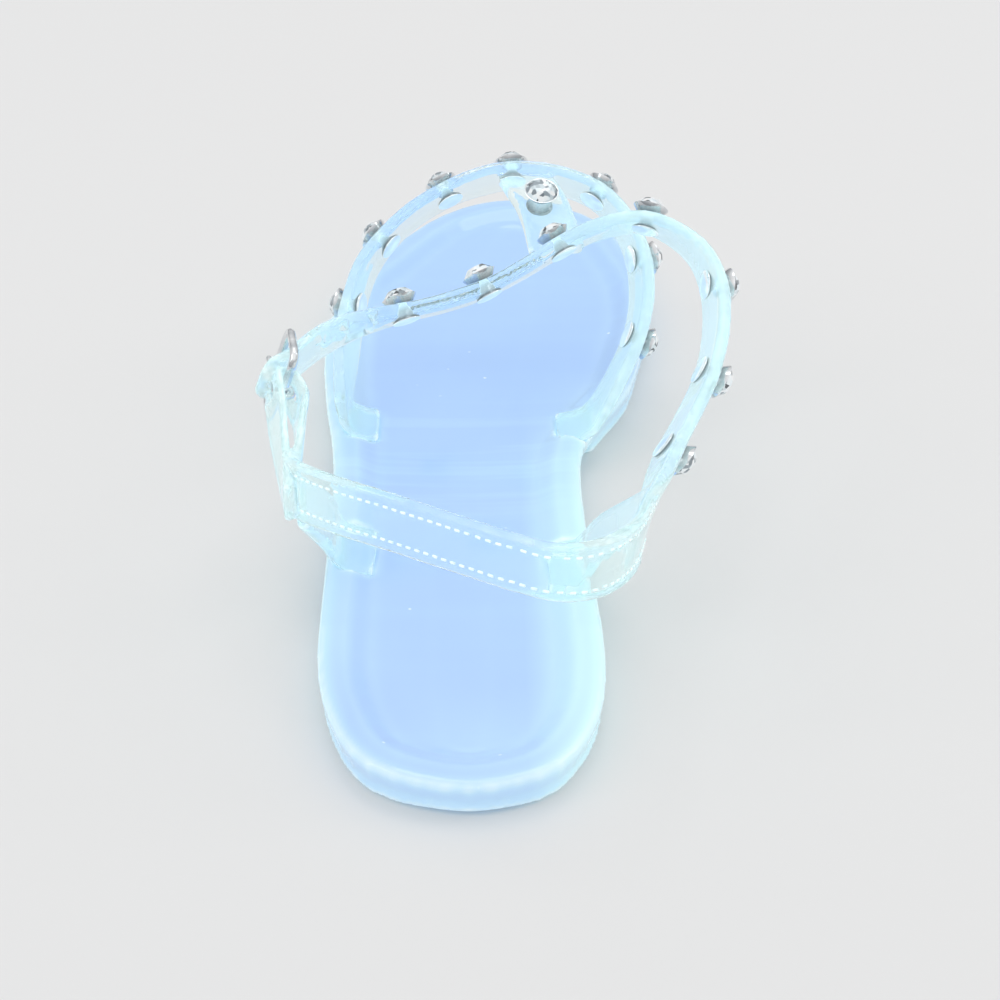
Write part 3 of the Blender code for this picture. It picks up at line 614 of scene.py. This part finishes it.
# where a setting gets painted shade, and where the plastic throws light on it; a reach is how far past the
# foot, the cap's inner face or the shank's end a mark goes, and a share is of the radius beside it
settingMarks = {
    "footReach": 0.0003, "footShare": 0.98, "footShade": 0.75,
    "capReach": 0.00015, "capShare": 0.9,
    "bedStart": 0.0004, "bedShade": 0.6,  # above the foot
    "shankReach": 0.0001, "shankShare": 1.2, "backReach": 0.0001,
}


def markSetting(mesh, low):
    size, marks = studSizes, settingMarks
    spots = np.zeros(len(mesh.vertices) * 3)
    mesh.vertices.foreach_get("co", spots)
    across, along, height = spots.reshape(-1, 3).T
    outward = np.hypot(across, along)
    foot = np.abs(height) < low + marks["footReach"]
    foot &= outward < size["capRadius"] * marks["footShare"]
    capRim = (-low - marks["capReach"] < height) & (height < 0)
    capRim &= outward > size["capRadius"] * marks["capShare"]
    bed = (height > low + marks["bedStart"]) & (outward < size["rimRadius"] - size["rimWall"])
    shank = np.abs(height) < low + marks["shankReach"]
    shank &= outward < size["shankRadius"] * marks["shankShare"]
    back = height < -low - marks["backReach"]
    # painted shade at the foot, under the cap's rim and in the stone's bed
    storeMark(mesh, "crevice", marks["footShade"] * (foot | capRim) + marks["bedShade"] * bed)
    storeMark(mesh, "back", 1.0 * back)
    storeMark(mesh, "shank", 1.0 * shank)


def makeStone():
    size = studSizes
    girdle = size["rimRadius"] - size["girdleInset"]
    low = size["face"] + size["rimHeight"] - size["seatDepth"] + size["seatPlay"]
    high = size["tableHeight"]
    bpy.ops.object.select_all(action="DESELECT")
    bpy.ops.mesh.primitive_cone_add(
        vertices=size["stoneSides"], radius1=girdle, radius2=girdle * size["tableShare"],
        depth=size["crown"], location=(0, 0, high - size["crown"] / 2))
    stone = bpy.context.object
    bpy.ops.object.transform_apply()
    bpy.ops.object.mode_set(mode="EDIT")
    flatFaces(stone, high, 1)
    bpy.ops.transform.rotate(value=pi / size["stoneSides"], orient_axis="Z", center_override=(0, 0, 0))
    flatFaces(stone, high - size["crown"], -1)
    extrudeAlong(low - (high - size["crown"]))
    scaleFlat(size["pointShare"], (0, 0, low))
    bpy.ops.mesh.select_all(action="SELECT")
    bpy.ops.mesh.quads_convert_to_tris(quad_method="SHORTEST_DIAGONAL")
    bpy.ops.mesh.normals_make_consistent(inside=False)
    bpy.ops.object.mode_set(mode="OBJECT")
    return stone


def copyTo(model, name, matrix):
    piece = bpy.data.objects.new(name, model.data.copy())
    piece.data.transform(matrix)
    bpy.context.scene.collection.objects.link(piece)
    return piece


settingModel, stoneModel = makeSetting(), makeStone()
for number in studNumbers:
    matrix = studMatrix(number)
    setting = copyTo(settingModel, f"setting_{number:02d}", matrix)
    handOver(setting, f"stud_{number:02d}", metalFinish)
    turned = matrix @ Matrix.Rotation(number * studSizes["turn"], 4, "Z")
    cutStone = copyTo(stoneModel, f"cutStone_{number:02d}", turned)
    handOver(cutStone, f"stone_{number:02d}", glassFinish)
for model in (settingModel, stoneModel):
    bpy.data.objects.remove(model)
print("studs and stones set")


for pieceName, nodeName in (("buckleFrame", "buckle_frame"), ("bucklePin", "buckle_prong")):
    metal = copyOfNode(pieceName, nodeName)
    mouldSoft(metal, moulding["metalGrain"], moulding["metalSoften"])
    handOver(metal, nodeName, metalFinish)
print("buckle polished")


studio = {
    "floor": (0.80, 0.80, 0.80), "floorBlur": 0.9, "floorShine": 0.1, "floorSize": 8, "floorDrop": 0.0002,
    "skyHigh": (0.97, 0.97, 0.97), "skyLow": (0.40, 0.41, 0.42), "skySpan": (0.05, 0.75),
    "middle": (0, 0.08, 0),
    "softBoxes": (  # name, spot, sides in metres, watts
        ("overhead", (0.1, 0.5, 1.4), (0.9, 0.5), 2.0),
        ("fromLeft", (-1.2, -0.3, 0.8), (0.3, 1.0), 1.5),
        ("fromRight", (1.2, 0.2, 0.7), (0.3, 1.0), 1.2),
    ),
    "eye": (0.0044, -0.3424, 0.2996), "aim": (0.008, 0.0651, 0.010), "lens": 75.6, "sensor": 36,
    "nearest": 0.01,
}

bpy.ops.object.select_all(action="DESELECT")
bpy.ops.mesh.primitive_plane_add(size=studio["floorSize"], location=(0, 0, -studio["floorDrop"]))
floor = bpy.context.object
floor.name = "studioFloor"
floorFinish = Finish("paleFloor")
floor.data.materials.append(floorFinish.surface(floorFinish.principled({
    "Base Color": studio["floor"], "Roughness": studio["floorBlur"],
    "Specular IOR Level": studio["floorShine"],
})))

sky = Finish("softSky", sky=True)
upward = sky.axis(sky.add("ShaderNodeTexCoord"), 2)
tone = sky.mix(sky.stretch(upward, studio["skySpan"]), studio["skyLow"], studio["skyHigh"])
bpy.context.scene.world = sky.surface(sky.add("ShaderNodeBackground", None, {"Color": tone}))


def turnedTo(spot, aim):
    return (Vector(aim) - Vector(spot)).to_track_quat("-Z", "Y").to_euler()


for name, spot, sides, power in studio["softBoxes"]:
    lamp = bpy.data.lights.new(name, "AREA")
    lamp.shape = "RECTANGLE"
    lamp.size, lamp.size_y = sides
    lamp.energy = power
    box = bpy.data.objects.new(name, lamp)
    bpy.context.scene.collection.objects.link(box)
    box.location = spot
    box.rotation_euler = turnedTo(spot, studio["middle"])

bpy.ops.object.camera_add(location=studio["eye"])
camera = bpy.context.object
camera.rotation_euler = turnedTo(studio["eye"], studio["aim"])
camera.data.lens = studio["lens"]
camera.data.sensor_width = studio["sensor"]
camera.data.clip_start = studio["nearest"]
bpy.context.scene.camera = camera
bpy.context.scene.view_settings.view_transform = "Standard"
print("studio ready")
